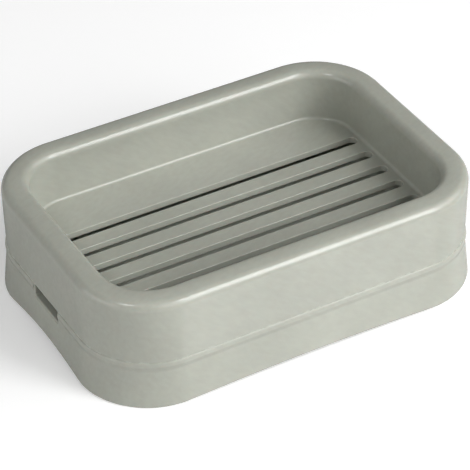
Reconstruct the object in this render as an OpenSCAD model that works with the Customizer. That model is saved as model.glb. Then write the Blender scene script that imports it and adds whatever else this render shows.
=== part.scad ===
// Travel soap dish: a drain tray with a wide rolled rim, standing on a flared base with a drip pan.
// The origin is on the table at the middle of the dish. X runs along its length, Z is up.

/* [Overall] */
// Length of the rim outline
dish_l = 120; // [104:1:150]
// Width of the rim outline
dish_w = 84; // [72:1:105]
// Height from the table to the top of the rim
dish_h = 34.6; // [31:0.2:44]
// Corner radius of the rim outline, seen from above
corner_r = 21.5; // [17:0.5:28]
// Thickness of the moulded walls
wall_t = 1.8; // [1.4:0.1:2.2]

/* [Rim and tray] */
// Width of the rim, from its outer edge to the inner wall
rim_w = 7.9; // [7.4:0.1:9]
// Radius of the rim's outer edge
rim_outer_r = 2.6; // [1.5:0.1:3]
// Radius of the rim's inner edge
rim_inner_r = 2.4; // [1.5:0.1:3]
// Radius of the gentle crown across the top of the rim
rim_crown_r = 14; // [10:1:40]
// Depth of the tray, from the rim to its drain floor
tray_depth = 16.4; // [12:0.2:17]
// How far the inner wall leans inwards on its way down
wall_lean = 0.2; // [0.1:0.1:1]
// Radius of the cove between the inner wall and the drain floor
cove_r = 1; // [0.6:0.1:2.5]
// Thickness of the drain floor
floor_t = 2; // [1.4:0.1:2.4]
// How far the outer skirt tapers in between the rim and the seam
skirt_taper = 0.3; // [0.1:0.1:0.8]

/* [Drain slots] */
// Number of drain slots
slot_n = 5; // [3:2:7]
// Distance between the middles of two slots
slot_pitch = 8.3; // [6:0.1:9]
// Width of a slot
slot_w = 3.4; // [2:0.1:4]
// Solid floor between the end of a slot and the inner wall
slot_end_gap = 1.5; // [1.4:0.1:6]

/* [Seam] */
// Height of the seam between the base and the tray
seam_z = 14.6; // [13.4:0.1:15]
// Height of the bead along the base's upper edge
bead_h = 1.9; // [1.7:0.1:2.6]
// How far that bead stands proud of the tray's skirt
bead_out = 0.45; // [0.2:0.05:0.5]
// Chamfer on the tray's lower edge, which marks the seam
seam_chamfer = 0.1; // [0.05:0.05:0.4]
// Height of the locating collar that stands up inside the tray's skirt
collar_h = 3.4; // [2:0.1:4]
// Thickness of that collar
collar_t = 1.4; // [1:0.1:1.8]
// Clearance between the collar and the skirt
collar_gap = 0.25; // [0.1:0.05:0.5]

/* [Outlets in the two ends] */
// Length of the notch in the base's upper edge that the tray closes to an outlet
outlet_l = 14; // [8:0.5:24]
// Depth of that notch below the seam
outlet_h = 3.8; // [2.6:0.1:4.2]
// Radius of the notch's lower corners
outlet_r = 0.6; // [0.3:0.1:0.9]

/* [Base] */
// Height of the waist below the bead, which leans in on its way down
waist_h = 2.3; // [1:0.1:3]
// Height of the soft step below that band
step_h = 1.6; // [1:0.1:3]
// How far that step stands out
step_out = 0.35; // [0.1:0.05:0.4]
// How far the base flares out at the table
base_flare = 1.1; // [0.4:0.1:2]
// Radius of the base's outer foot edge
foot_r = 0.6; // [0.3:0.1:0.8]
// Rise of the arch under each end
end_arch_h = 2.1; // [0.5:0.1:3]
// Length of the arch under each end
end_arch_l = 50; // [30:1:60]
// Rise of the arch under each long side
side_arch_h = 1.2; // [0.4:0.1:2.5]
// Length of the arch under each long side
side_arch_l = 100; // [60:1:104]
// Height of the drip pan's underside above the table
pan_z = 4; // [3.2:0.1:6]
// Thickness of the drip pan's floor
pan_floor_t = 1.8; // [1.2:0.1:2.4]
// Width of the shoulder that carries the tray, from the seam's edge to the drip pan
shoulder_w = 5.6; // [5.4:0.1:7]

/* [Stiffening ribs] */
// Thickness of the ribs inside the hollow walls
rib_t = 1.2; // [0.8:0.1:1.6]
// Clearance between the tray's ribs and the top of the collar
rib_gap = 0.6; // [0.4:0.1:1.5]
// Height of the underside of the base's ribs above the table
base_rib_z = 3; // [2.8:0.1:5]

/* [Hidden] */
$fn = 96;
sage = [0.67, 0.69, 0.61];
sage_shade = [0.61, 0.63, 0.55];
// Half lengths of the straight stretches of the outline, which are the corner centres too
cx = dish_l / 2 - corner_r;
cy = dish_w / 2 - corner_r;
// Heights that follow from the driving sizes
floor_z = dish_h - tray_depth;
crown_z = dish_h - rim_crown_r;
pan_floor_z = pan_z + pan_floor_t;
collar_z = seam_z + collar_h;
waist_z = seam_z - bead_h - waist_h;
step_z = waist_z - step_h;
// The bead's face is two arcs: up to the seam it turns by bead_top, down to the waist by bead_low
bead_top = 60;
bead_low = 50;
bead_r = bead_out / (1 - cos(bead_top));
// Distances from a corner centre, along which the wall sections are drawn
seam_u = corner_r - skirt_taper;
inner_u = corner_r - rim_w;
foot_u = inner_u - wall_lean;
// The crown's highest line lies nearer the inner wall, at this share of the rim's width
crown_share = 0.42;
crown_u = inner_u + crown_share * rim_w;
skirt_in_u = seam_u - wall_t;
collar_u = skirt_in_u - collar_gap;
pan_u = seam_u - shoulder_w;
base_u = corner_r + base_flare;
// Reach of a plate's outline past the edge of the wall section that it joins
lap = 0.4;
// Overlap of a rib with the walls that it joins, and of a cutter with the air
bite = 0.3;
arc_steps = 8;
crown_steps = 5;
arch_steps = 24;
// Power that makes an arch run out level at its ends
arch_power = 1.5;

// Points of an arc about c, from angle a0 to a1
function arc(c, r, a0, a1, n = arc_steps) =
    [for (i = [0:n]) let (a = a0 + (a1 - a0) * i / n) c + r * [cos(a), sin(a)]];

// Distance of the base's outer face from the corner centre at height z: soft step and flare
function base_face_u(z) =
    let (t = min(1, max(0, (waist_z - z) / step_h)))
    z > step_z
        ? seam_u + step_out * (1 - cos(180 * t)) / 2
        : base_u + (seam_u + step_out - base_u) * z / step_z;

// Outer face of the base's soft step, from its foot up
function step_points() =
    [for (i = [0:arc_steps]) let (z = step_z + step_h * i / arc_steps) [base_face_u(z), z]];

// Outer face of the base's bead, from the waist up to the seam
function bead_points() =
    let (u = seam_u + bead_out - bead_r)
    concat(
        arc([u, seam_z - bead_h + bead_r * sin(bead_low)], bead_r, -bead_low, 0),
        arc([u, seam_z - bead_r * sin(bead_top)], bead_r, 0, bead_top));

// Centre of a roll of radius r whose middle is at distance u and which meets the crown smoothly
function roll_centre(u, r) =
    [u, crown_z + sqrt(pow(rim_crown_r - r, 2) - pow(u - crown_u, 2))];

// Angle at which that roll meets the crown
function roll_angle(u, r) = acos((u - crown_u) / (rim_crown_r - r));

// Top of the rim from the skirt to the inner wall: outer roll, crown and inner roll
function rim_points() =
    let (out_u = corner_r - rim_outer_r, in_u = inner_u + rim_inner_r)
    let (out_a = roll_angle(out_u, rim_outer_r), in_a = roll_angle(in_u, rim_inner_r))
    concat(
        arc(roll_centre(out_u, rim_outer_r), rim_outer_r, 0, out_a),
        [for (i = [1:crown_steps - 1]) let (a = out_a + (in_a - out_a) * i / crown_steps)
            [crown_u, crown_z] + rim_crown_r * [cos(a), sin(a)]],
        arc(roll_centre(in_u, rim_inner_r), rim_inner_r, in_a, 180));

// Wall section of the tray: skirt, rolled rim, inner wall and the edge of the drain floor
function tray_section() = concat(
    [[skirt_in_u, seam_z], [seam_u - seam_chamfer, seam_z], [seam_u, seam_z + seam_chamfer]],
    rim_points(),
    arc([foot_u - cove_r, floor_z + cove_r], cove_r, 0, -90),
    [
        [foot_u - cove_r - 2 * lap, floor_z],
        [foot_u - cove_r - 2 * lap, floor_z - floor_t],
        [foot_u + wall_t, floor_z - floor_t],
        [inner_u + wall_t, dish_h - wall_t - rim_inner_r / 2],
        [inner_u + wall_t + rim_inner_r / 2, dish_h - wall_t],
        [corner_r - wall_t - rim_outer_r / 2, dish_h - wall_t],
        [corner_r - wall_t, dish_h - wall_t - rim_outer_r / 2],
    ]);

// Wall section of the base: flared skirt, shoulder, locating collar and the wall of the drip pan
function base_section() = concat(
    [[base_u - wall_t, 0]],
    arc([base_u - foot_r, foot_r], foot_r, -90, 0),
    step_points(),
    bead_points(),
    [
        [collar_u, seam_z],
        [collar_u, collar_z - collar_t / 2],
        [collar_u - collar_t / 3, collar_z],
        [collar_u - collar_t, collar_z],
        [collar_u - collar_t, seam_z],
        [pan_u, seam_z],
    ],
    arc([pan_u - cove_r, pan_floor_z + cove_r], cove_r, 0, -90),
    [
        [pan_u - cove_r - 2 * lap, pan_floor_z],
        [pan_u - cove_r - 2 * lap, pan_z],
        [pan_u + wall_t, pan_z],
        [pan_u + wall_t, seam_z - wall_t],
        [base_face_u(seam_z - wall_t) - wall_t, seam_z - wall_t],
    ]);

// A wall section carried round the dish: a quarter turn at each corner, a straight run along each side
module round_the_dish(points) {
    for (q = [0:3]) {
        sx = q == 0 || q == 3 ? 1 : -1;
        sy = q < 2 ? 1 : -1;
        run = q % 2 == 0 ? 2 * cx : 2 * cy;
        translate([sx * cx, sy * cy, 0])
            rotate([0, 0, 90 * q])
                union() {
                    rotate_extrude(angle = 90) polygon(points);
                    rotate([90, 0, 90])
                        translate([0, 0, -run])
                            linear_extrude(height = run) polygon(points);
                }
    }
}

// The dish's outline, u out from the corner centres
module outline(u) {
    square([2 * cx, 2 * (cy + u)], center = true);
    square([2 * (cx + u), 2 * cy], center = true);
    for (sx = [-1, 1])
        for (sy = [-1, 1])
            translate([sx * cx, sy * cy])
                circle(r = u);
}

module plate(u, z, t) {
    translate([0, 0, z])
        linear_extrude(height = t) outline(u);
}

// A thin upright rib with the shape of a wall hollow, across the wall at the place where it stands
module rib(points) {
    rotate([90, 0, 0])
        translate([0, 0, -rib_t / 2])
            linear_extrude(height = rib_t) polygon(points);
}

// The ribs' places: two pairs on each long side, one pair on each end, and one across each corner
module ribs_round_the_dish(points) {
    for (sx = [-1, 1])
        for (sy = [-1, 1]) {
            for (x = [cx / 3, cx * 0.95])
                translate([sx * x, sy * cy, 0])
                    rotate([0, 0, 90 * sy]) rib(points);
            translate([sx * cx, sy * cy * 0.9, 0])
                rotate([0, 0, sx > 0 ? 0 : 180]) rib(points);
            translate([sx * cx, sy * cy, 0])
                rotate([0, 0, atan2(sy, sx)]) rib(points);
        }
}

// A drain slot along the dish, with round ends
module drain_slot() {
    half = cx + foot_u - slot_end_gap - slot_w / 2;
    translate([0, 0, floor_z - floor_t - bite])
        linear_extrude(height = floor_t + 2 * bite) {
            square([2 * half, slot_w], center = true);
            for (sx = [-1, 1])
                translate([sx * half, 0]) circle(d = slot_w);
        }
}

// Outline of an outlet's notch, with its lower corners rounded and its top open to the seam and collar
module notch_outline() {
    half = outlet_l / 2 - outlet_r;
    square([2 * half, 2 * outlet_h], center = true);
    translate([0, collar_h + outlet_r])
        square([outlet_l, 2 * (outlet_h + collar_h)], center = true);
    for (sy = [-1, 1])
        translate([sy * half, outlet_r - outlet_h]) circle(r = outlet_r);
}

// The notches in both ends, through the skirt, shoulder, collar and pan wall
module outlets() {
    reach = shoulder_w + max(step_out, bead_out) + 2 * bite;
    for (s = [-1, 1])
        translate([s * (cx + pan_u - bite), 0, seam_z])
            rotate([90, 0, s * 90])
                linear_extrude(height = reach) notch_outline();
}

// The solid that lies round each notch in the hollow below the shoulder, and becomes its trough
module troughs() {
    low = seam_z - outlet_h - wall_t;
    size = [shoulder_w - wall_t, outlet_l + 2 * wall_t, outlet_h + wall_t / 2];
    for (s = [-1, 1])
        translate([s * (cx + (pan_u + seam_u) / 2), 0, low + size[2] / 2])
            cube(size, center = true);
}

// The space under an arch, as an upright outline that runs out smoothly to the table at both ends
module arch_outline(span, rise) {
    polygon(concat(
        [for (i = [0:arch_steps]) let (t = 2 * i / arch_steps - 1)
            [t * span / 2, rise * pow(1 - t * t, arch_power)]],
        [[span / 2, -bite], [-span / 2, -bite]]));
}

module arches() {
    rotate([90, 0, 90])
        translate([0, 0, -dish_l])
            linear_extrude(height = 2 * dish_l) arch_outline(end_arch_l, end_arch_h);
    rotate([90, 0, 0])
        translate([0, 0, -dish_w])
            linear_extrude(height = 2 * dish_w) arch_outline(side_arch_l, side_arch_h);
}

module drain_tray() {
    rib_z = collar_z + rib_gap;
    color(sage)
        difference() {
            union() {
                round_the_dish(tray_section());
                plate(foot_u - cove_r - lap, floor_z - floor_t, floor_t);
                ribs_round_the_dish([
                    [foot_u + wall_t - bite, rib_z],
                    [skirt_in_u + bite, rib_z],
                    [corner_r - wall_t + bite, dish_h - wall_t - rim_outer_r / 2],
                    [corner_r - wall_t - rim_outer_r / 2, dish_h - wall_t + bite],
                    [inner_u + wall_t + rim_inner_r / 2, dish_h - wall_t + bite],
                    [inner_u + wall_t - bite, dish_h - wall_t - rim_inner_r / 2],
                ]);
            }
            for (i = [0:slot_n - 1])
                translate([0, (i - (slot_n - 1) / 2) * slot_pitch, 0])
                    drain_slot();
        }
}

module base() {
    color(sage_shade)
        difference() {
            union() {
                round_the_dish(base_section());
                plate(pan_u - cove_r - lap, pan_z, pan_floor_t);
                troughs();
                ribs_round_the_dish([
                    [pan_u + wall_t - bite, max(base_rib_z, pan_z)],
                    [base_face_u(base_rib_z) - wall_t + bite, max(base_rib_z, pan_z)],
                    [base_face_u(seam_z - wall_t) - wall_t + bite, seam_z - wall_t + bite],
                    [pan_u + wall_t - bite, seam_z - wall_t + bite],
                ]);
            }
            arches();
            outlets();
        }
}

drain_tray();
base();
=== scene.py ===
"""Travel soap dish: its two glossy mouldings, plain studio light and the photograph's camera.

The dish is a drain tray with a wide rolled rim, which stands on a flared base with a drip pan.
Both mouldings are swept round the dish from their wall sections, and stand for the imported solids.
"""

import logging
import math
from collections.abc import Mapping, Sequence
from dataclasses import dataclass, replace
from enum import Enum

import bmesh
import bpy
from bmesh.types import BMEdge, BMesh, BMFace, BMVert
from mathutils import Matrix, Vector


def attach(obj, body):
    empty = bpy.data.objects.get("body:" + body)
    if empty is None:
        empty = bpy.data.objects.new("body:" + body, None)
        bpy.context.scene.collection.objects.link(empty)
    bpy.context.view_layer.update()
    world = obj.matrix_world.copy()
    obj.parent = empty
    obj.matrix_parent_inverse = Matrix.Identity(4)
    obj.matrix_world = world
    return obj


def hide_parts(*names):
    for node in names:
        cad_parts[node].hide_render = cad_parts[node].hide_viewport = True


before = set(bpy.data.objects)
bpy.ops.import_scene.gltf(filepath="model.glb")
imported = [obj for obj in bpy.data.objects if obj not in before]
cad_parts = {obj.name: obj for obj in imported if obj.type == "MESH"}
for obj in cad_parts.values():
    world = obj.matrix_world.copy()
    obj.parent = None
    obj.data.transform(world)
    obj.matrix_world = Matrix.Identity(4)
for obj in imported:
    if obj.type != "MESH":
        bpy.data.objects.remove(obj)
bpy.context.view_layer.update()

log = logging.getLogger("soap_dish")

MM = 0.001
WHITE = (1.0, 1.0, 1.0, 1.0)

# Points nearer than this are one point
SAME_POINT = 0.001 * MM
# Points within this distance of a line lie on it
SAME_LINE = 0.01 * MM

# Numbers of faces across a rounding, from the rim's rolls down to the finest edges
ROLL_STEPS = 12
BEAD_STEPS = 8
COVE_STEPS = 6
LIP_STEPS = 5
INNER_ROLL_STEPS = 4
EDGE_STEPS = 3
FINE_STEPS = 2

# Faces that meet at a larger angle than this, in degrees, keep a sharp edge between them
SHARP_ANGLE = 32.0
# How strongly the large faces turn the normals of the small ones beside them
LARGE_FACE_WEIGHT = 80

# Name of the attribute that holds how much each point is rubbed
WEAR = "edge_wear"
# Distance beside a rounded corner past which nothing is rubbed
WEAR_REACH = 0.9 * MM
# Half the curvature, per metre, where the wear starts and where it is full
LEAST_BEND = 60.0
MOST_BEND = 700.0
# Square of the shortest step, in square metres, over which a bend is measured
SHORT_STEP_SQUARED = 1e-9

# Places of the ribs, as shares of the way from the middle of a side or end to a corner's centre
SIDE_RIBS = (1 / 3, 0.95)
END_RIB = 0.9

# Power that lets an arch run out softly at its ends
ARCH_EASE = 1.5

# The middle stretch of a noise pattern's values, which is spread over the range that is asked for
NOISE_LOW = 0.3
NOISE_HIGH = 0.7

Socket = bpy.types.NodeSocket
Feed = Socket | float | tuple[float, ...]


class Side(Enum):
    """Which way a level floor faces."""

    TOP = 1
    UNDERSIDE = -1


@dataclass(frozen=True)
class SectionPoint:
    """One corner of a wall section, before it is rounded.

    Attributes:
        u: Distance outwards from the centre of the dish's corner.
        z: Height above the table.
        rounding: Radius of the rounding at this corner, or 0 where it stays sharp.
        segments: Number of faces across that rounding.
    """

    u: float
    z: float
    rounding: float = 0.0
    segments: int = 1


@dataclass(frozen=True)
class DishForm:
    """What both mouldings share: the rounded rectangle that they follow, seam, walls and ribs.

    Attributes:
        length: Length over the rim.
        width: Width over the rim.
        corner_r: Radius of the rim's corners.
        seam: Height at which the tray stands on the base.
        taper: How far the tray's skirt leans in, from the rim down to the seam.
        wall: Thickness of the walls.
        rib: Thickness of the ribs.
        rib_bite: How far a rib reaches into the walls that it joins.
        corner_steps: Number of faces round one corner.
        side_steps: Number of faces along one straight side.
    """

    length: float = 120.0 * MM
    width: float = 84.0 * MM
    corner_r: float = 21.5 * MM
    seam: float = 14.6 * MM
    taper: float = 0.3 * MM
    wall: float = 1.8 * MM
    rib: float = 1.2 * MM
    rib_bite: float = 0.3 * MM
    corner_steps: int = 28
    side_steps: int = 28

    @property
    def centre(self) -> Vector:
        """The corner centre in the +X, +Y quarter."""
        return Vector((self.length / 2 - self.corner_r, self.width / 2 - self.corner_r, 0.0))

    @property
    def seam_edge(self) -> float:
        """Distance from a corner centre to the outer edge at the seam."""
        return self.corner_r - self.taper

    def outward(self, point: Vector) -> Vector:
        """Gives the way out of the dish at a point of a wall.

        Args:
            point: A point outside the rectangle of the corner centres.

        Returns:
            A level vector from that rectangle to the point.
        """
        centre = self.centre
        nearest = Vector((
            max(-centre.x, min(centre.x, point.x)),
            max(-centre.y, min(centre.y, point.y)),
            point.z,
        ))
        return point - nearest


def section_edges(bm: BMesh, form: DishForm, section: Sequence[SectionPoint]) -> list[BMEdge]:
    """Draws a wall section as a chain of edges at the start of the first corner.

    Args:
        bm: The mesh to draw in.
        form: The form that the section will follow.
        section: The section's points, in order.

    Returns:
        The chain's edges, in order.
    """
    centre = form.centre
    verts = [bm.verts.new((centre.x + p.u, centre.y, p.z)) for p in section]
    return [bm.edges.new(pair) for pair in zip(verts, verts[1:])]


def rounding_reach(section: Sequence[SectionPoint], index: int) -> float:
    """Gives how far the rounding of a section's corner reaches along the lines that meet there.

    Args:
        section: The section's points, in order.
        index: The corner's place in the section.

    Returns:
        The reach, which is 0 at the section's ends and where a corner stays sharp.
    """
    point = section[index]
    if not point.rounding or index in (0, len(section) - 1):
        return 0.0
    before, after = section[index - 1], section[index + 1]
    first = Vector((before.u - point.u, before.z - point.z)).normalized()
    second = Vector((after.u - point.u, after.z - point.z)).normalized()
    return point.rounding * math.tan((math.pi - first.angle(second)) / 2.0)


def guarded(section: Sequence[SectionPoint]) -> list[SectionPoint]:
    """Adds a point beside each corner of a section's long lines, so that wear stays at the edges.

    Args:
        section: The section's points, in order.

    Returns:
        The longer section.
    """
    points = [section[0]]
    for index, (start, end) in enumerate(zip(section, section[1:])):
        line = Vector((end.u - start.u, end.z - start.z))
        near = rounding_reach(section, index) + WEAR_REACH
        far = rounding_reach(section, index + 1) + WEAR_REACH
        if line.length > near + far + WEAR_REACH:
            for share in (near / line.length, 1.0 - far / line.length):
                points.append(SectionPoint(start.u + line.x * share, start.z + line.y * share))
        points.append(end)
    return points


def sweep_round(bm: BMesh, form: DishForm, plain_section: Sequence[SectionPoint]) -> None:
    """Carries a wall section once round the dish and rounds its corners.

    Args:
        bm: The mesh to add the wall to.
        form: The form that the section follows.
        plain_section: The section's points, in order.
    """
    section = guarded(plain_section)
    edges = section_edges(bm, form, section)
    centre = form.centre
    corners = [(1, 1), (-1, 1), (-1, -1), (1, -1)]
    for index, (sx, sy) in enumerate(corners):
        turned = bmesh.ops.spin(
            bm,
            geom=edges,
            cent=(sx * centre.x, sy * centre.y, 0.0),
            axis=(0.0, 0.0, 1.0),
            angle=math.radians(90.0),
            steps=form.corner_steps,
            use_merge=False,
        )
        edges = [g for g in turned["geom_last"] if isinstance(g, BMEdge)]
        nx, ny = corners[(index + 1) % len(corners)]
        run = Vector(((nx - sx) * centre.x, (ny - sy) * centre.y, 0.0))
        for _ in range(form.side_steps):
            drawn = bmesh.ops.extrude_edge_only(bm, edges=edges)
            moved = [g for g in drawn["geom"] if isinstance(g, BMVert)]
            bmesh.ops.translate(bm, verts=moved, vec=run / form.side_steps)
            edges = [g for g in drawn["geom"] if isinstance(g, BMEdge)]
    bmesh.ops.remove_doubles(bm, verts=bm.verts, dist=SAME_POINT)
    round_section(bm, form, section)


def round_edges(bm: BMesh, edges: list[BMEdge], offset: float, segments: int) -> None:
    """Bevels edges with a round profile.

    Args:
        bm: The mesh that holds the edges.
        edges: The edges to round.
        offset: How far the rounding reaches over the faces beside an edge.
        segments: Number of faces across the rounding.
    """
    bmesh.ops.bevel(
        bm,
        geom=edges,
        offset=offset,
        offset_type="OFFSET",
        segments=segments,
        profile=0.5,
        affect="EDGES",
        clamp_overlap=False,
        material=-1,
    )


def round_section(bm: BMesh, form: DishForm, section: Sequence[SectionPoint]) -> None:
    """Bevels each corner line of a swept section that has a rounding.

    Args:
        bm: The mesh that holds the swept wall.
        form: The form that the section follows.
        section: The section's points, in order.
    """
    for index, point in enumerate(section):
        if not point.rounding:
            continue
        line = [
            e for e in bm.edges
            if all(
                abs(v.co.z - point.z) < SAME_LINE
                and abs(form.outward(v.co).length - point.u) < SAME_LINE
                for v in e.verts
            )
        ]
        round_edges(bm, line, rounding_reach(section, index), point.segments)


def open_ring(bm: BMesh, height: float) -> list[BMEdge]:
    """Finds the free edges of a swept wall at one height.

    Args:
        bm: The mesh that holds the wall.
        height: The height of the free edges.

    Returns:
        The ring of free edges.
    """
    return [
        e for e in bm.edges
        if e.is_boundary and all(abs(v.co.z - height) < SAME_LINE for v in e.verts)
    ]


def fill_level(bm: BMesh, edges: list[BMEdge], side: Side) -> None:
    """Fills a level floor between an outer ring and the rings of its holes.

    Args:
        bm: The mesh to fill.
        edges: The edges of all the rings.
        side: Whether the floor faces up or down.
    """
    bmesh.ops.triangle_fill(
        bm, use_beauty=True, use_dissolve=False, edges=edges, normal=(0.0, 0.0, side.value)
    )


def slotted_hole(
    bm: BMesh, middle: Vector, length: float, width: float, lip: float, depth: float
) -> tuple[list[BMEdge], list[BMEdge]]:
    """Makes the wall of a slot with round ends and rounded lips above and below.

    The wall starts as a round hole, whose two halves are then moved apart.

    Args:
        bm: The mesh to add the wall to.
        middle: The slot's middle, at the height of its upper lip.
        length: The slot's length over its round ends.
        width: The slot's width.
        lip: Radius of the rounded lips.
        depth: Thickness of the floor that the slot goes through.

    Returns:
        The edges of the ring in the upper face, and of the ring in the lower face.
    """
    round_steps = 24
    lip_steps = 4
    quarter = [math.radians(90.0) * i / lip_steps for i in range(1, lip_steps + 1)]
    upper = [(width / 2 + lip * (1 - math.sin(a)), -lip * (1 - math.cos(a))) for a in quarter]
    lower = [(radius, -depth - drop) for radius, drop in reversed(upper)]
    first_radius = width / 2 + lip
    lower.append((first_radius, -depth))
    turn = Matrix.Rotation(math.pi / round_steps, 4, "Z")
    circle = bmesh.ops.create_circle(
        bm,
        cap_ends=False,
        segments=round_steps,
        radius=first_radius,
        matrix=Matrix.Translation(middle) @ turn,
    )
    verts = list(circle["verts"])
    top = list(dict.fromkeys(e for v in verts for e in v.link_edges))
    edges = top
    radius, drop = first_radius, 0.0
    for next_radius, next_drop in upper + lower:
        drawn = bmesh.ops.extrude_edge_only(bm, edges=edges)
        ring = [g for g in drawn["geom"] if isinstance(g, BMVert)]
        edges = [g for g in drawn["geom"] if isinstance(g, BMEdge)]
        ratio = next_radius / radius
        bmesh.ops.scale(
            bm, vec=(ratio, ratio, 1.0), verts=ring, space=Matrix.Translation(-middle)
        )
        bmesh.ops.translate(bm, vec=(0.0, 0.0, next_drop - drop), verts=ring)
        verts += ring
        radius, drop = next_radius, next_drop
    apart = length / 2 - width / 2
    for sign in (-1, 1):
        half = [v for v in verts if v.co.x * sign > 0]
        bmesh.ops.translate(bm, vec=(sign * apart, 0.0, 0.0), verts=half)
    return top, edges


def rib_blade(
    bm: BMesh, foot: Vector, bearing: float, points: Sequence[tuple[float, float]], thickness: float
) -> None:
    """Stands a thin rib across a hollow wall.

    Args:
        bm: The mesh to add the rib to.
        foot: The point from which the rib's distances are measured.
        bearing: The way out of the dish at the rib, in radians from +X.
        points: The rib's corners, as distance outwards and height.
        thickness: Thickness of the rib.
    """
    out = Vector((math.cos(bearing), math.sin(bearing), 0.0))
    across = Vector((-out.y, out.x, 0.0)) * thickness
    face = bm.faces.new([
        bm.verts.new(foot + out * u + Vector((0.0, 0.0, z)) - across / 2) for u, z in points
    ])
    pulled = bmesh.ops.extrude_face_region(bm, geom=[face], use_keep_orig=True)
    moved = [g for g in pulled["geom"] if isinstance(g, BMVert)]
    bmesh.ops.translate(bm, vec=across, verts=moved)


def ribs_round(bm: BMesh, form: DishForm, points: Sequence[tuple[float, float]]) -> None:
    """Stands ribs round the dish: pairs along the sides and ends, and one across each corner.

    Args:
        bm: The mesh to add the ribs to.
        form: The form that the hollow wall follows.
        points: The corners of one rib, as distance outwards and height.
    """
    centre = form.centre
    for sx in (-1, 1):
        for sy in (-1, 1):
            facing = math.radians(90.0 * sy)
            places = [(sx * centre.x * share, sy * centre.y, facing) for share in SIDE_RIBS]
            places.append((sx * centre.x, sy * centre.y * END_RIB, 0.0 if sx > 0 else math.pi))
            places.append((sx * centre.x, sy * centre.y, math.atan2(sy, sx)))
            for x, y, bearing in places:
                rib_blade(bm, Vector((x, y, 0.0)), bearing, points, form.rib)


@dataclass(frozen=True)
class Notch:
    """The notch in each end of the base, which the tray closes to an outlet.

    Attributes:
        length: Length of the notch along the end.
        depth: Depth below the seam.
        corner_r: Radius of its lower corners.
        lip: Radius of its rounded edge on the outside.
        lip_out: How far outside the seam's edge that rounding ends.
        past_wall: How far the cut goes past the drip pan's wall.
        past_top: How far it goes past the top of the collar.
        past_face: How far it goes past its rounded edge, to clear the bead.
        slack: Gap between the cut and the trough round it.
    """

    length: float = 14.0 * MM
    depth: float = 3.8 * MM
    corner_r: float = 0.6 * MM
    lip: float = 0.5 * MM
    lip_out: float = 0.15 * MM
    past_wall: float = 0.5 * MM
    past_top: float = 1.0 * MM
    past_face: float = 2.0 * MM
    slack: float = 0.03 * MM

    def cutter(self, inner: float, outer: float, seam: float, top: float) -> bpy.types.Object:
        """Makes the solid that cuts the notch in both ends.

        Args:
            inner: Distance from the middle of the dish to the drip pan's wall.
            outer: Distance from the middle of the dish to the outer edge at the seam.
            seam: Height of the seam.
            top: Height of the collar's upper edge.

        Returns:
            The cutting object, which is removed after use.
        """
        start = inner - self.past_wall
        reach = outer + self.lip_out - self.lip - start
        peak = top + self.past_top
        height = peak - seam + self.depth
        bm = bmesh.new()
        for sign in (-1, 1):
            place = Matrix.Translation((sign * (start + reach / 2), 0.0, peak - height / 2))
            size = Matrix.Diagonal((reach, self.length, height, 1.0))
            block = bmesh.ops.create_cube(bm, size=1.0, matrix=place @ size)
            edges = dict.fromkeys(e for v in block["verts"] for e in v.link_edges)
            lower = [
                e for e in edges
                if abs(e.verts[0].co.x - e.verts[1].co.x) > SAME_LINE and e.verts[0].co.z < seam
            ]
            round_edges(bm, lower, self.corner_r, COVE_STEPS)
            near_front = start + reach - SAME_LINE
            front = [f for f in bm.faces if f.calc_center_median().x * sign > near_front]
            self.widen_mouth(bm, front, sign, height, peak)
        return new_object("notch_cutter", bm)

    def widen_mouth(
        self, bm: BMesh, front: list[BMFace], sign: int, height: float, peak: float
    ) -> None:
        """Carries the front of the cutting solid outwards, wider along the notch's rounded edge.

        Args:
            bm: The mesh of the cutting solid.
            front: The faces at its front.
            sign: Which end of the dish it cuts: 1 at +X, -1 at -X.
            height: Height of the solid.
            peak: Height of its top above the table.
        """
        quarter = [math.radians(90.0) * step / LIP_STEPS for step in range(1, LIP_STEPS + 1)]
        stations = [(self.lip * math.sin(a), self.lip * (1 - math.cos(a))) for a in quarter]
        stations.append((self.lip + self.past_face, self.lip))
        half = self.length / 2
        pivot = Matrix.Translation((0.0, 0.0, -peak))
        along, wide = 0.0, 0.0
        for out, wider in stations:
            pushed = bmesh.ops.extrude_face_region(bm, geom=front)
            bmesh.ops.delete(bm, geom=front, context="FACES_ONLY")
            front = [g for g in pushed["geom"] if isinstance(g, BMFace)]
            verts = [g for g in pushed["geom"] if isinstance(g, BMVert)]
            across, upright = (half + wider) / (half + wide), (height + wider) / (height + wide)
            bmesh.ops.scale(bm, vec=(1.0, across, upright), verts=verts, space=pivot)
            bmesh.ops.translate(bm, vec=(sign * (out - along), 0.0, 0.0), verts=verts)
            along, wide = out, wider

    def trough(
        self, bm: BMesh, middle: float, reach: float, seam: float, top: float, wall: float
    ) -> None:
        """Adds the trough that carries the notch through the hollow of each end.

        Args:
            bm: The mesh to add the troughs to.
            middle: Distance from the middle of the dish to the middle of a trough.
            reach: Length of the trough across the hollow.
            seam: Height of the seam.
            top: Height of the trough's upper edges, inside the shoulder.
            wall: Thickness of its walls.
        """
        half = self.length / 2 + self.slack
        bottom = seam - self.depth - self.slack
        low = bottom - wall
        profile = [
            (half + wall, top), (half, top), (half, bottom), (-half, bottom), (-half, top),
            (-half - wall, top), (-half - wall, low), (half + wall, low),
        ]
        for sign in (-1, 1):
            x = sign * middle - reach / 2
            face = bm.faces.new([bm.verts.new((x, y, z)) for y, z in profile])
            pulled = bmesh.ops.extrude_face_region(bm, geom=[face], use_keep_orig=True)
            moved = [g for g in pulled["geom"] if isinstance(g, BMVert)]
            bmesh.ops.translate(bm, vec=(reach, 0.0, 0.0), verts=moved)


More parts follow.
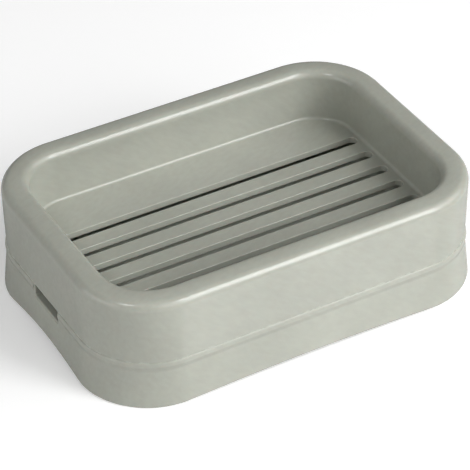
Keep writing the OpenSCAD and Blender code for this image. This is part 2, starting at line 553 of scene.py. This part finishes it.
@dataclass(frozen=True)
class Arch:
    """A low arch in the skirt's lower edge.

    Attributes:
        span: Length of the arch.
        rise: Height of its middle.
    """

    span: float
    rise: float

    def height(self, along: float) -> float:
        """Gives the arch's height at a distance from its middle."""
        share = 2 * along / self.span
        return self.rise * (1 - share * share) ** ARCH_EASE if abs(share) < 1 else 0.0


def new_object(name: str, bm: BMesh) -> bpy.types.Object:
    """Turns a finished bmesh into an object at the origin.

    Args:
        name: The object's name.
        bm: The mesh, which is freed.

    Returns:
        The object, linked to the scene.
    """
    bmesh.ops.recalc_face_normals(bm, faces=bm.faces)
    mesh = bpy.data.meshes.new(name)
    bm.to_mesh(mesh)
    bm.free()
    obj = bpy.data.objects.new(name, mesh)
    bpy.context.scene.collection.objects.link(obj)
    return obj


def add_shells(obj: bpy.types.Object, bm: BMesh) -> None:
    """Adds finished shells, such as ribs, to a piece's mesh.

    Args:
        obj: The piece.
        bm: The mesh that holds the shells, which is freed.
    """
    bmesh.ops.recalc_face_normals(bm, faces=bm.faces)
    bm.from_mesh(obj.data)
    bm.to_mesh(obj.data)
    bm.free()


def cut_away(obj: bpy.types.Object, cutter: bpy.types.Object) -> None:
    """Cuts one object out of another, and removes the cutter.

    Args:
        obj: The object to cut.
        cutter: The cutting object.
    """
    cut = obj.modifiers.new("cut", "BOOLEAN")
    cut.operation = "DIFFERENCE"
    cut.solver = "EXACT"
    cut.object = cutter
    bpy.context.view_layer.update()
    graph = bpy.context.evaluated_depsgraph_get()
    mesh = bpy.data.meshes.new_from_object(obj.evaluated_get(graph))
    obj.modifiers.remove(cut)
    whole = obj.data
    obj.data = mesh
    bpy.data.meshes.remove(whole)
    bpy.data.objects.remove(cutter)


def smooth_by_angle(obj: bpy.types.Object) -> None:
    """Shades a piece smooth, apart from its sharp edges.

    Args:
        obj: The piece.
    """
    sharp = math.radians(SHARP_ANGLE)
    bm = bmesh.new()
    bm.from_mesh(obj.data)
    for face in bm.faces:
        face.smooth = True
    for edge in bm.edges:
        edge.smooth = len(edge.link_faces) != 2 or edge.calc_face_angle() < sharp
    bm.to_mesh(obj.data)
    bm.free()
    weighted = obj.modifiers.new("even_normals", "WEIGHTED_NORMAL")
    weighted.keep_sharp = True
    weighted.weight = LARGE_FACE_WEIGHT


def mark_wear(obj: bpy.types.Object) -> None:
    """Writes how much each point of a piece is rubbed, from how sharply it stands out.

    Args:
        obj: The piece.
    """
    bm = bmesh.new()
    bm.from_mesh(obj.data)
    bm.normal_update()
    layer = bm.verts.layers.float.new(WEAR)
    for vert in bm.verts:
        bends = []
        for edge in vert.link_edges:
            step = edge.other_vert(vert).co - vert.co
            bends.append(-step.dot(vert.normal) / max(step.length_squared, SHORT_STEP_SQUARED))
        bend = sum(bends) / max(len(bends), 1)
        vert[layer] = max(0.0, min(1.0, (bend - LEAST_BEND) / (MOST_BEND - LEAST_BEND)))
    bm.to_mesh(obj.data)
    bm.free()


@dataclass(frozen=True)
class Pattern:
    """A noise pattern of a finish.

    Attributes:
        scale: Number of its features in a metre.
        detail: Number of finer patterns on top of it.
    """

    scale: float
    detail: float


@dataclass(frozen=True)
class NodeBench:
    """Adds nodes to a material or a world, and joins them.

    Attributes:
        tree: The node tree to work on.
    """

    tree: bpy.types.NodeTree

    def feed(self, node: bpy.types.Node, inputs: Mapping[str | int, Feed]) -> None:
        """Fills inputs of a node.

        Args:
            node: The node.
            inputs: What goes into each input: an output to link, or a value to set.
        """
        for name, value in inputs.items():
            if isinstance(value, Socket):
                self.tree.links.new(value, node.inputs[name])
            else:
                node.inputs[name].default_value = value

    def add(
        self, kind: str, inputs: Mapping[str | int, Feed] | None = None, **options: str
    ) -> bpy.types.Node:
        """Adds a node.

        Args:
            kind: The node's type.
            inputs: What goes into its inputs.
            **options: The node's own options.

        Returns:
            The node.
        """
        node = self.tree.nodes.new(kind)
        for name, choice in options.items():
            setattr(node, name, choice)
        self.feed(node, inputs or {})
        return node

    def noise(self, pattern: Pattern, place: Socket) -> Socket:
        """Adds a noise texture.

        Args:
            pattern: Its features.
            place: The coordinates that it reads.

        Returns:
            Its value.
        """
        inputs = {"Scale": pattern.scale, "Detail": pattern.detail, "Vector": place}
        return self.add("ShaderNodeTexNoise", inputs).outputs["Fac"]

    def ranged(self, value: Socket, low: float, high: float) -> Socket:
        """Spreads a noise pattern's value over a range of numbers.

        Args:
            value: The pattern's value.
            low: The least number.
            high: The greatest number.

        Returns:
            The number.
        """
        spread = {"From Min": NOISE_LOW, "From Max": NOISE_HIGH, "To Min": low, "To Max": high}
        return self.add("ShaderNodeMapRange", {"Value": value, **spread}).outputs["Result"]

    def arithmetic(self, operation: str, *terms: Feed) -> Socket:
        """Works out a number from others.

        Args:
            operation: The name of the operation.
            *terms: The numbers, as outputs or values.

        Returns:
            The result.
        """
        return self.add("ShaderNodeMath", dict(enumerate(terms)), operation=operation).outputs[0]


@dataclass(frozen=True)
class GlossPlastic:
    """The glossy plastic of a moulding, with its fine moulding texture, its wear and streaks of
    painted reflection in its colour.

    Attributes:
        name: Name of the material.
        colour: The plastic's colour, as linear red, green and blue.
        ior: Its index of refraction.
        glow: Share of the light that passes through its skin.
        glow_depth: How deep that light goes.
        cloud: How far the colour drifts across a piece, as a share.
        cloud_pattern: The pattern of that drift.
        gloss: Mean roughness of the surface.
        gloss_drift: How far the roughness drifts across a piece, as a share.
        gloss_pattern: The pattern of that drift.
        streak_pattern: The pattern of the streaks, which are faint reflections painted into the
            colour, with its scale measured across them.
        streak_turn: Turn of the streaks about each axis, in degrees.
        streak_stretch: Length of a streak, as a number of its widths.
        painted_reflection_tone: How far the streaks lighten and darken the colour as painted
            reflection, as a share.
        streak_gloss: How far they change the roughness, as a share.
        wear_pattern: The pattern that breaks the wear up.
        wear_tone: How far the wear lightens an edge, as a share.
        wear_dull: How much rougher a worn edge is.
        grain: Depth of the fine moulding texture.
        grain_pattern: The pattern of that texture.
        wave: Depth of the slow waviness of the faces.
        wave_pattern: The pattern of that waviness.
    """

    name: str
    colour: tuple[float, float, float]
    ior: float = 1.5
    glow: float = 0.08
    glow_depth: float = 1.5 * MM
    cloud: float = 0.05
    cloud_pattern: Pattern = Pattern(45.0, 3.0)
    gloss: float = 0.22
    gloss_drift: float = 0.3
    gloss_pattern: Pattern = Pattern(30.0, 2.0)
    streak_pattern: Pattern = Pattern(700.0, 3.0)
    streak_turn: tuple[float, float, float] = (0.0, 35.0, 25.0)
    streak_stretch: float = 12.0
    painted_reflection_tone: float = 0.03
    streak_gloss: float = 0.05
    wear_pattern: Pattern = Pattern(320.0, 4.0)
    wear_tone: float = 0.12
    wear_dull: float = 0.12
    grain: float = 0.004 * MM
    grain_pattern: Pattern = Pattern(2600.0, 2.0)
    wave: float = 0.06 * MM
    wave_pattern: Pattern = Pattern(55.0, 1.0)

    def streaks(self, bench: NodeBench, place: Socket) -> Socket:
        """Makes the streaks, which are faint diagonal reflections painted into the colour and which
        also vary the roughness.

        Args:
            bench: The bench of the material.
            place: The piece's own coordinates.

        Returns:
            The streaks' value, from -1 to 1.
        """
        streak_space = bench.add(
            "ShaderNodeMapping",
            {
                "Vector": place,
                "Rotation": tuple(math.radians(turn) for turn in self.streak_turn),
                "Scale": (self.streak_stretch, 1.0, 1.0),
            },
            vector_type="TEXTURE",
        )
        return bench.ranged(bench.noise(self.streak_pattern, streak_space.outputs["Vector"]), -1.0, 1.0)

    def worn(self, bench: NodeBench, place: Socket) -> Socket:
        """Makes the wear, which is broken up along the edges.

        Args:
            bench: The bench of the material.
            place: The piece's own coordinates.

        Returns:
            The wear's value, from 0 to 1.
        """
        marked = bench.add("ShaderNodeAttribute", attribute_name=WEAR).outputs["Fac"]
        broken = bench.ranged(bench.noise(self.wear_pattern, place), 0.0, 1.0)
        return bench.arithmetic("MULTIPLY", marked, broken)

    def tinted(self, bench: NodeBench, place: Socket, streaks: Socket, worn: Socket) -> Socket:
        """Makes the colour, which drifts, and is changed by the streaks of painted reflection and
        by the wear.

        Args:
            bench: The bench of the material.
            place: The piece's own coordinates.
            streaks: The streaks' value.
            worn: The wear's value.

        Returns:
            The colour.
        """
        drift = bench.add(
            "ShaderNodeMix",
            {
                "Factor": bench.ranged(bench.noise(self.cloud_pattern, place), 0.0, 1.0),
                "A": (*(c * (1 - self.cloud) for c in self.colour), 1.0),
                "B": (*(c * (1 + self.cloud) for c in self.colour), 1.0),
            },
            data_type="RGBA",
        )
        # Faint diagonal reflections painted into the colour: the streaks lighten and darken it
        painted_reflection = bench.arithmetic("MULTIPLY_ADD", streaks, self.painted_reflection_tone, 1.0)
        tone = bench.arithmetic("MULTIPLY_ADD", worn, self.wear_tone, painted_reflection)
        toned = bench.add(
            "ShaderNodeVectorMath", {0: drift.outputs["Result"], "Scale": tone}, operation="SCALE"
        )
        return toned.outputs["Vector"]

    def roughness(self, bench: NodeBench, place: Socket, streaks: Socket, worn: Socket) -> Socket:
        """Makes the roughness, which drifts, and is changed by the streaks and the wear.

        Args:
            bench: The bench of the material.
            place: The piece's own coordinates.
            streaks: The streaks' value.
            worn: The wear's value.

        Returns:
            The roughness.
        """
        least = self.gloss * (1 - self.gloss_drift / 2)
        drift = bench.noise(self.gloss_pattern, place)
        plain = bench.arithmetic("MULTIPLY_ADD", drift, self.gloss * self.gloss_drift, least)
        dulled = bench.arithmetic("MULTIPLY_ADD", worn, self.wear_dull, plain)
        return bench.arithmetic("MULTIPLY_ADD", streaks, self.gloss * self.streak_gloss, dulled)

    def relief(self, bench: NodeBench, place: Socket) -> Socket:
        """Makes the fine moulding texture on the slow waviness of the faces.

        Args:
            bench: The bench of the material.
            place: The piece's own coordinates.

        Returns:
            The changed normal.
        """
        inputs = {
            "Strength": 1.0,
            "Distance": self.grain,
            "Height": bench.noise(self.grain_pattern, place),
        }
        fine = bench.add("ShaderNodeBump", inputs)
        inputs = {
            "Strength": 1.0,
            "Distance": self.wave,
            "Height": bench.noise(self.wave_pattern, place),
            "Normal": fine.outputs["Normal"],
        }
        return bench.add("ShaderNodeBump", inputs).outputs["Normal"]

    def material(self) -> bpy.types.Material:
        """Builds the plastic's material.

        Returns:
            The material.
        """
        made = bpy.data.materials.new(self.name)
        made.use_nodes = True
        bench = NodeBench(made.node_tree)
        place = bench.add("ShaderNodeTexCoord").outputs["Object"]
        streaks = self.streaks(bench, place)
        worn = self.worn(bench, place)
        bench.feed(made.node_tree.nodes["Principled BSDF"], {
            "IOR": self.ior,
            "Subsurface Weight": self.glow,
            "Subsurface Scale": self.glow_depth,
            "Base Color": self.tinted(bench, place, streaks, worn),
            "Roughness": self.roughness(bench, place, streaks, worn),
            "Normal": self.relief(bench, place),
        })
        return made

    def dress(self, obj: bpy.types.Object) -> None:
        """Smooths a moulding, marks its wear and gives it this plastic.

        Args:
            obj: The moulding.
        """
        smooth_by_angle(obj)
        mark_wear(obj)
        obj.data.materials.append(self.material())


@dataclass(frozen=True)
class DrainTray:
    """The upper moulding: skirt, wide rolled rim, inner wall and slotted drain floor.

    Attributes:
        form: What it shares with the base.
        finish: Its plastic.
        height: Height of the rim above the table.
        rim: Width of the rim.
        rim_outer_r: Radius of the rim's outer roll.
        rim_inner_r: Radius of its inner roll.
        crown_r: Radius of the gentle crown between the rolls.
        crown_share: Place of the crown's top across the rim, as a share from its inner edge.
        crown_places: Places of the crown's points, as shares of the way between the rolls.
        depth: Depth of the drain floor below the rim.
        lean: How far the inner wall leans in on its way down.
        cove: Radius of the cove round the drain floor.
        cove_strip: Width of the level strip past the cove.
        floor: Thickness of the drain floor.
        floor_edge_r: Radius of the edge under the drain floor.
        skirt_edge_r: Radius of the skirt's lower edge.
        slots: Number of slots.
        slot_pitch: Distance from slot to slot.
        slot_width: Width of a slot.
        slot_end_gap: Distance from a slot's end to the foot of the inner wall.
        slot_lip: Radius of a slot's rounded lips.
        rib_low: Height of the ribs' lower ends.
    """

    form: DishForm
    finish: GlossPlastic
    height: float = 34.59 * MM
    rim: float = 7.9 * MM
    rim_outer_r: float = 2.6 * MM
    rim_inner_r: float = 2.4 * MM
    crown_r: float = 14.0 * MM
    crown_share: float = 0.42
    crown_places: tuple[float, ...] = (0.08, 0.29, 0.5, 0.71, 0.92)
    depth: float = 16.4 * MM
    lean: float = 0.2 * MM
    cove: float = 1.0 * MM
    cove_strip: float = 0.08 * MM
    floor: float = 2.0 * MM
    floor_edge_r: float = 0.4 * MM
    skirt_edge_r: float = 0.04 * MM
    slots: int = 5
    slot_pitch: float = 8.3 * MM
    slot_width: float = 3.4 * MM
    slot_end_gap: float = 1.5 * MM
    slot_lip: float = 0.2 * MM
    rib_low: float = 18.6 * MM

    @property
    def floor_height(self) -> float:
        """Height of the drain floor above the table."""
        return self.height - self.depth

    @property
    def inner(self) -> float:
        """Distance from a corner centre to the inner edge of the rim."""
        return self.form.corner_r - self.rim

    @property
    def foot(self) -> float:
        """Distance from a corner centre to the foot of the inner wall."""
        return self.inner - self.lean

    @property
    def crown_u(self) -> float:
        """Distance from a corner centre to the top of the crown."""
        return self.inner + self.crown_share * self.rim

    def crown_point(self, tilt: float) -> SectionPoint:
        """Gives the point of the crown that lies at an angle, in radians, from its top."""
        drop = self.crown_r * (1 - math.cos(tilt))
        return SectionPoint(self.crown_u + self.crown_r * math.sin(tilt), self.height - drop)

    def rim_top(self) -> list[SectionPoint]:
        """Gives the top of the rim: the inner roll, the gentle crown and the outer roll.

        Returns:
            The section's points from the inner wall to the skirt.
        """
        outer = self.form.corner_r
        corners = []
        tilts = []
        for face, roll, side in ((self.inner, self.rim_inner_r, 1), (outer, self.rim_outer_r, -1)):
            tilt = math.asin((face + side * roll - self.crown_u) / (self.crown_r - roll))
            meets = self.crown_point(tilt)
            corner_z = meets.z - math.tan(tilt) * (face - meets.u)
            corners.append(SectionPoint(face, corner_z, roll, ROLL_STEPS))
            tilts.append(tilt)
        first, last = tilts
        crown = [self.crown_point(first + (last - first) * share) for share in self.crown_places]
        return [corners[0], *crown, corners[1]]

    def section(self) -> list[SectionPoint]:
        """Gives the wall section, from the drain floor's edge over the rim and back underneath.

        Returns:
            The section's points.
        """
        wall = self.form.wall
        seam = self.form.seam
        skirt = self.form.seam_edge
        edge = self.foot - self.cove - self.cove_strip
        under = self.height - wall
        under_floor = self.floor_height - self.floor
        return [
            SectionPoint(edge, self.floor_height),
            SectionPoint(self.foot, self.floor_height, self.cove, COVE_STEPS),
            *self.rim_top(),
            SectionPoint(skirt, seam, self.skirt_edge_r, EDGE_STEPS),
            SectionPoint(skirt - wall, seam),
            SectionPoint(self.form.corner_r - wall, under, self.rim_outer_r / 2, INNER_ROLL_STEPS),
            SectionPoint(self.inner + wall, under, self.rim_inner_r / 2, INNER_ROLL_STEPS),
            SectionPoint(self.foot + wall, under_floor, self.floor_edge_r, EDGE_STEPS),
            SectionPoint(edge, under_floor),
        ]

    def build(self) -> bpy.types.Object:
        """Models the moulding and dresses it.

        Returns:
            The finished piece.
        """
        bm = bmesh.new()
        sweep_round(bm, self.form, self.section())
        above = open_ring(bm, self.floor_height)
        below = open_ring(bm, self.floor_height - self.floor)
        length = 2 * (self.form.centre.x + self.foot - self.slot_end_gap)
        for index in range(self.slots):
            y = (index - (self.slots - 1) / 2) * self.slot_pitch
            middle = Vector((0.0, y, self.floor_height))
            top, bottom = slotted_hole(
                bm, middle, length, self.slot_width, self.slot_lip, self.floor
            )
            above += top
            below += bottom
        fill_level(bm, above, Side.TOP)
        fill_level(bm, below, Side.UNDERSIDE)
        obj = new_object("drain_tray_moulding", bm)
        self.add_ribs(obj)
        self.finish.dress(obj)
        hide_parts("drain_tray")
        return obj

    def add_ribs(self, obj: bpy.types.Object) -> None:
        """Adds the ribs that stiffen the hollow rim.

        Args:
            obj: The moulding.
        """
        wall = self.form.wall
        bite = self.form.rib_bite
        under = self.height - wall
        outer = self.form.seam_edge - wall + bite
        inner = self.foot + wall - bite
        outer_roll = self.rim_outer_r / 2
        inner_roll = self.rim_inner_r / 2
        points = [
            (inner, self.rib_low),
            (outer, self.rib_low),
            (self.form.corner_r - wall, under - outer_roll),
            (self.form.corner_r - wall - outer_roll, under + bite),
            (self.inner + wall + inner_roll, under + bite),
            (inner, under - inner_roll),
        ]
        bm = bmesh.new()
        ribs_round(bm, self.form, points)
        add_shells(obj, bm)


@dataclass(frozen=True)
class Base:
    """The lower moulding: flared skirt on four corners, shoulder, locating collar and drip pan.

    Attributes:
        form: What it shares with the tray.
        finish: Its plastic.
        notch: The notch in each end.
        bead: Section of bead, waist and soft step, measured outwards from the edge at the seam
            and upwards from the seam.
        flare: How far the skirt's foot stands out past the rim.
        foot_r: Radius of the skirt's outer edge at the table.
        collar_gap: Gap between the collar and the tray's skirt.
        collar: Thickness of the collar.
        collar_h: Height of the collar above the seam.
        shoulder: Distance from the outer edge at the seam to the drip pan.
        pan_low: Height of the drip pan's underside.
        pan_floor: Thickness of the drip pan's floor.
        pan_edge_r: Radius of the drip pan's upper edge.
        cove: Radius of the cove round the drip pan's floor.
        edge_r: Radius of the edges in the hollow and of the collar's outer edge.
        fine_r: Radius of the collar's inner edge and of the skirt's inner edge at the table.
        end_arch: The arch under each end.
        side_arch: The arch under each side.
        arch_margin: Distance that the arches keep from the drip pan's wall and from the soft step.
    """

    form: DishForm
    finish: GlossPlastic
    notch: Notch = Notch()
    bead: tuple[SectionPoint, ...] = (
        SectionPoint(0.03 * MM, 0.0, 0.03 * MM, FINE_STEPS),
        SectionPoint(0.26 * MM, -0.25 * MM, 0.9 * MM, BEAD_STEPS),
        SectionPoint(0.39 * MM, -1.3 * MM, 1.3 * MM, COVE_STEPS),
        SectionPoint(0.02 * MM, -2.9 * MM, 2.0 * MM, BEAD_STEPS),
        SectionPoint(0.35 * MM, -5.0 * MM, 6.0 * MM, COVE_STEPS),
    )
    flare: float = 1.1 * MM
    foot_r: float = 0.6 * MM
    collar_gap: float = 0.25 * MM
    collar: float = 1.4 * MM
    collar_h: float = 3.4 * MM
    shoulder: float = 5.6 * MM
    pan_low: float = 4.0 * MM
    pan_floor: float = 1.8 * MM
    pan_edge_r: float = 0.3 * MM
    cove: float = 1.3 * MM
    edge_r: float = 0.5 * MM
    fine_r: float = 0.2 * MM
    end_arch: Arch = Arch(50.0 * MM, 2.1 * MM)
    side_arch: Arch = Arch(100.0 * MM, 1.2 * MM)
    arch_margin: float = 1.0 * MM

    @property
    def skirt_foot(self) -> float:
        """Distance from a corner centre to the outer edge at the table."""
        return self.form.corner_r + self.flare

    @property
    def pan(self) -> float:
        """Distance from a corner centre to the drip pan's wall."""
        return self.form.seam_edge - self.shoulder

    @property
    def under(self) -> float:
        """Height of the shoulder's underside."""
        return self.form.seam - self.form.wall

    def inner_face(self, height: float) -> float:
        """Gives the distance from a corner centre to the skirt's inner face at a height."""
        lean = (self.form.seam_edge - self.skirt_foot) * height / self.under
        return self.skirt_foot - self.form.wall + lean

    def section(self) -> list[SectionPoint]:
        """Gives the wall section, from the pan over the collar and the skirt and back underneath.

        Returns:
            The section's points.
        """
        wall = self.form.wall
        seam = self.form.seam
        seam_edge = self.form.seam_edge
        pan = self.pan
        edge = pan - 2 * self.cove
        pan_top = self.pan_low + self.pan_floor
        collar = seam_edge - wall - self.collar_gap
        top = seam + self.collar_h
        under = self.under
        return [
            SectionPoint(edge, pan_top),
            SectionPoint(pan, pan_top, self.cove, COVE_STEPS),
            SectionPoint(pan, seam, self.pan_edge_r, EDGE_STEPS),
            SectionPoint(collar - self.collar, seam),
            SectionPoint(collar - self.collar, top, self.fine_r, FINE_STEPS),
            SectionPoint(collar, top, self.edge_r, EDGE_STEPS),
            SectionPoint(collar, seam),
            SectionPoint(seam_edge, seam),
            *(replace(p, u=seam_edge + p.u, z=seam + p.z) for p in self.bead),
            SectionPoint(self.skirt_foot, 0.0, self.foot_r, COVE_STEPS),
            SectionPoint(self.skirt_foot - wall, 0.0, self.fine_r, FINE_STEPS),
            SectionPoint(self.inner_face(under), under, self.edge_r, EDGE_STEPS),
            SectionPoint(pan + wall, under, self.edge_r, EDGE_STEPS),
            SectionPoint(pan + wall, self.pan_low, self.edge_r, EDGE_STEPS),
            SectionPoint(edge, self.pan_low),
        ]

    def arch_rise(self, point: Vector) -> float:
        """Gives how far the arches raise the lower edge at a place.

        Args:
            point: A point of the skirt.

        Returns:
            The rise above the table.
        """
        out = self.form.outward(point)
        if abs(out.x) > abs(out.y):
            return self.end_arch.height(point.y)
        return self.side_arch.height(point.x)

    def raise_arches(self, bm: BMesh) -> None:
        """Lifts the skirt's lower edge into the arches, along the slope of its own face.

        Args:
            bm: The mesh that holds the swept wall.
        """
        step = self.bead[-1]
        step_foot = self.form.seam + step.z
        slope = (self.form.seam_edge + step.u - self.skirt_foot) / step_foot
        inside = self.pan + self.form.wall + self.arch_margin
        reach = step_foot - self.arch_margin
        for vert in bm.verts:
            out = self.form.outward(vert.co)
            if out.length < inside or vert.co.z > reach:
                continue
            lift = self.arch_rise(vert.co) * (1 - vert.co.z / reach)
            vert.co += out.normalized() * slope * lift
            vert.co.z += lift

    def build(self) -> bpy.types.Object:
        """Models the moulding and dresses it.

        Returns:
            The finished piece.
        """
        bm = bmesh.new()
        sweep_round(bm, self.form, self.section())
        fill_level(bm, open_ring(bm, self.pan_low + self.pan_floor), Side.TOP)
        fill_level(bm, open_ring(bm, self.pan_low), Side.UNDERSIDE)
        self.raise_arches(bm)
        obj = new_object("base_moulding", bm)
        end = self.form.centre.x
        seam = self.form.seam
        cut_away(obj, self.notch.cutter(
            end + self.pan, end + self.form.seam_edge, seam, seam + self.collar_h
        ))
        self.add_ribs(obj)
        self.finish.dress(obj)
        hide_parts("base")
        return obj

    def add_ribs(self, obj: bpy.types.Object) -> None:
        """Adds the ribs and troughs between the skirt and the drip pan, which show from below.

        Args:
            obj: The moulding.
        """
        wall = self.form.wall
        bite = self.form.rib_bite
        pan = self.pan + wall - bite
        top = self.under + bite
        points = [
            (pan, self.pan_low),
            (self.inner_face(self.pan_low) + bite, self.pan_low),
            (self.inner_face(self.under) + bite, top),
            (pan, top),
        ]
        bm = bmesh.new()
        ribs_round(bm, self.form, points)
        hollow = self.form.centre.x + self.form.seam_edge - self.shoulder / 2
        reach = self.shoulder - 2 * wall + 2 * bite
        self.notch.trough(bm, hollow, reach, self.form.seam, top, wall)
        add_shells(obj, bm)


@dataclass(frozen=True)
class SoftLamp:
    """Where a soft lamp hangs, as seen from the dish, and how bright it is.

    Attributes:
        azimuth: Degrees to the right of the front.
        elevation: Degrees above the table.
        width: Width of its face, in degrees.
        height: Height of its face, in degrees.
        radiance: Brightness of its face.
    """

    azimuth: float
    elevation: float
    width: float
    height: float
    radiance: float

    @property
    def way(self) -> Vector:
        """Gives the direction from the dish to the lamp.

        Returns:
            A vector of length 1.
        """
        azimuth, elevation = math.radians(self.azimuth), math.radians(self.elevation)
        level = math.cos(elevation)
        return Vector((math.sin(azimuth) * level, -math.cos(azimuth) * level, math.sin(elevation)))


class Lamp(Enum):
    """The studio's soft lamps."""

    KEY = SoftLamp(31.5, 38.0, 18.0, 36.0, 8.4)
    FRONT_FILL = SoftLamp(38.0, 34.0, 84.0, 46.0, 2.1)
    LEFT_SPARK = SoftLamp(-64.0, 49.0, 12.0, 8.0, 16.0)
    LEFT_FILL = SoftLamp(-96.0, 12.0, 50.0, 24.0, 2.1)
    BACK_FILL = SoftLamp(-145.0, 20.0, 50.0, 24.0, 0.3)


@dataclass(frozen=True)
class Studio:
    """A plain pale floor, a dim surround and soft lamps.

    Attributes:
        floor_size: Length of the floor's sides.
        floor_colour: Its colour, as linear red, green and blue.
        floor_roughness: Roughness of its gloss.
        floor_shine: How much of the lamps it shows to the dish's gloss.
        floor_lift: How far it is lifted to white round the dish, as the camera sees it.
        fade_start: Distance from the dish at which the lift starts to grow.
        fade_end: Distance at which the floor is lifted to white.
        surround: Strength of the surround, apart from what the camera sees.
        lamp_distance: Distance of the lamps from their aim.
        lamp_aim: The point to which the lamps turn.
    """

    floor_size: float = 6.0
    floor_colour: tuple[float, float, float] = (0.82, 0.82, 0.82)
    floor_roughness: float = 0.12
    floor_shine: float = 0.18
    floor_lift: float = 0.30
    fade_start: float = 0.25
    fade_end: float = 1.2
    surround: float = 0.08
    lamp_distance: float = 1.1
    lamp_aim: tuple[float, float, float] = (0.0, 0.0, 20.0 * MM)

    def floor_material(self) -> bpy.types.Material:
        """Builds the floor's material, which shows the lamps only to the dish's gloss.

        Returns:
            The material.
        """
        made = bpy.data.materials.new("pale_floor")
        made.use_nodes = True
        bench = NodeBench(made.node_tree)
        place = bench.add("ShaderNodeTexCoord").outputs["Object"]
        away = bench.add("ShaderNodeVectorMath", {0: place}, operation="LENGTH").outputs["Value"]
        fade = {"From Min": self.fade_start, "From Max": self.fade_end, "To Min": self.floor_lift}
        lift = bench.add(
            "ShaderNodeMapRange", {"Value": away, **fade}, interpolation_type="SMOOTHSTEP"
        ).outputs["Result"]
        ray = bench.add("ShaderNodeLightPath").outputs
        bench.feed(made.node_tree.nodes["Principled BSDF"], {
            "Base Color": (*self.floor_colour, 1.0),
            "Roughness": self.floor_roughness,
            "Specular IOR Level": 0.0,
            "Metallic": bench.arithmetic("MULTIPLY", ray["Is Glossy Ray"], self.floor_shine),
            "Emission Color": WHITE,
            "Emission Strength": bench.arithmetic("MULTIPLY", ray["Is Camera Ray"], lift),
        })
        return made

    def floor(self) -> None:
        """Lays the floor, which keeps the dish's shadow."""
        bm = bmesh.new()
        bmesh.ops.create_grid(bm, x_segments=1, y_segments=1, size=self.floor_size / 2)
        obj = new_object("studio_floor", bm)
        obj.data.materials.append(self.floor_material())

    def world(self) -> None:
        """Sets a dim surround for the dish, which the camera sees as white."""
        world = bpy.data.worlds.new("studio_surround")
        bpy.context.scene.world = world
        world.use_nodes = True
        bench = NodeBench(world.node_tree)
        seen = bench.add("ShaderNodeLightPath").outputs["Is Camera Ray"]
        inputs = {"Value": seen, "To Min": self.surround, "To Max": 1.0}
        strength = bench.add("ShaderNodeMapRange", inputs).outputs["Result"]
        bench.feed(world.node_tree.nodes["Background"], {"Color": WHITE, "Strength": strength})

    def face_size(self, angle: float) -> float:
        """Gives the size of a lamp's face from the angle that it fills, in degrees."""
        return 2 * self.lamp_distance * math.tan(math.radians(angle / 2))

    def hang_lamps(self) -> None:
        """Hangs the soft lamps, each turned to the dish."""
        aim = Vector(self.lamp_aim)
        for lamp in Lamp:
            soft = lamp.value
            data = bpy.data.lights.new(f"lamp_{lamp.name.lower()}", "AREA")
            data.shape = "RECTANGLE"
            data.size = self.face_size(soft.width)
            data.size_y = self.face_size(soft.height)
            data.energy = soft.radiance * math.pi * data.size * data.size_y
            obj = bpy.data.objects.new(data.name, data)
            bpy.context.scene.collection.objects.link(obj)
            obj.location = aim + soft.way * self.lamp_distance
            obj.rotation_euler = soft.way.to_track_quat("Z", "Y").to_euler()

    def build(self) -> None:
        """Builds the whole studio."""
        self.floor()
        self.world()
        self.hang_lamps()


@dataclass(frozen=True)
class PhotoCamera:
    """The photograph's camera, worked out from the outline of the dish.

    Attributes:
        azimuth: Degrees to the right of looking along +Y.
        elevation: Degrees above the table.
        roll: Degrees of turn about the line of sight.
        aim: The point that it looks at.
        distance: Distance from that point.
        lens: Focal length, in millimetres.
        sensor: Width of its sensor, in millimetres.
        nearest: Distance from which it sees.
        farthest: Distance up to which it sees.
    """

    azimuth: float = -29.13
    elevation: float = 37.11
    roll: float = -0.906
    aim: tuple[float, float, float] = (8.18 * MM, 15.16 * MM, 0.0)
    distance: float = 722.5 * MM
    lens: float = 189.69
    sensor: float = 36.0
    nearest: float = 0.05
    farthest: float = 20.0

    def build(self) -> None:
        """Sets the camera up and makes it the scene's."""
        a, e, r = (math.radians(x) for x in (self.azimuth, self.elevation, self.roll))
        back = Vector((math.sin(a) * math.cos(e), -math.cos(a) * math.cos(e), math.sin(e)))
        level = Vector((math.cos(a), math.sin(a), 0.0))
        rise = back.cross(level)
        right = level * math.cos(r) + rise * math.sin(r)
        up = rise * math.cos(r) - level * math.sin(r)
        data = bpy.data.cameras.new("photo_camera")
        data.sensor_width = self.sensor
        data.lens = self.lens
        data.clip_start = self.nearest
        data.clip_end = self.farthest
        camera = bpy.data.objects.new("photo_camera", data)
        bpy.context.scene.collection.objects.link(camera)
        turned = Matrix((right, up, back)).transposed().to_4x4()
        camera.matrix_world = Matrix.Translation(Vector(self.aim) + back * self.distance) @ turned
        bpy.context.scene.camera = camera


def report(obj: bpy.types.Object) -> None:
    """Logs a finished piece with its size and face count.

    Args:
        obj: The piece.
    """
    size = ", ".join(f"{d / MM:.1f}" for d in obj.dimensions)
    log.info("%s: %s mm, %d faces", obj.name, size, len(obj.data.polygons))


def main() -> None:
    """Builds the camera, the studio and the two mouldings, in order."""
    logging.basicConfig(level=logging.INFO, format="%(name)s: %(message)s")
    form = DishForm()
    sage = (0.377, 0.387, 0.336)
    PhotoCamera().build()
    Studio().build()
    mouldings = (
        DrainTray(form, GlossPlastic("tray_sage", sage)),
        Base(form, GlossPlastic("base_sage", sage)),
    )
    for moulding in mouldings:
        piece = moulding.build()
        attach(piece, "root")
        report(piece)
    bpy.context.scene.view_settings.view_transform = "Standard"
    bpy.context.view_layer.update()


if __name__ == "__main__":
    main()
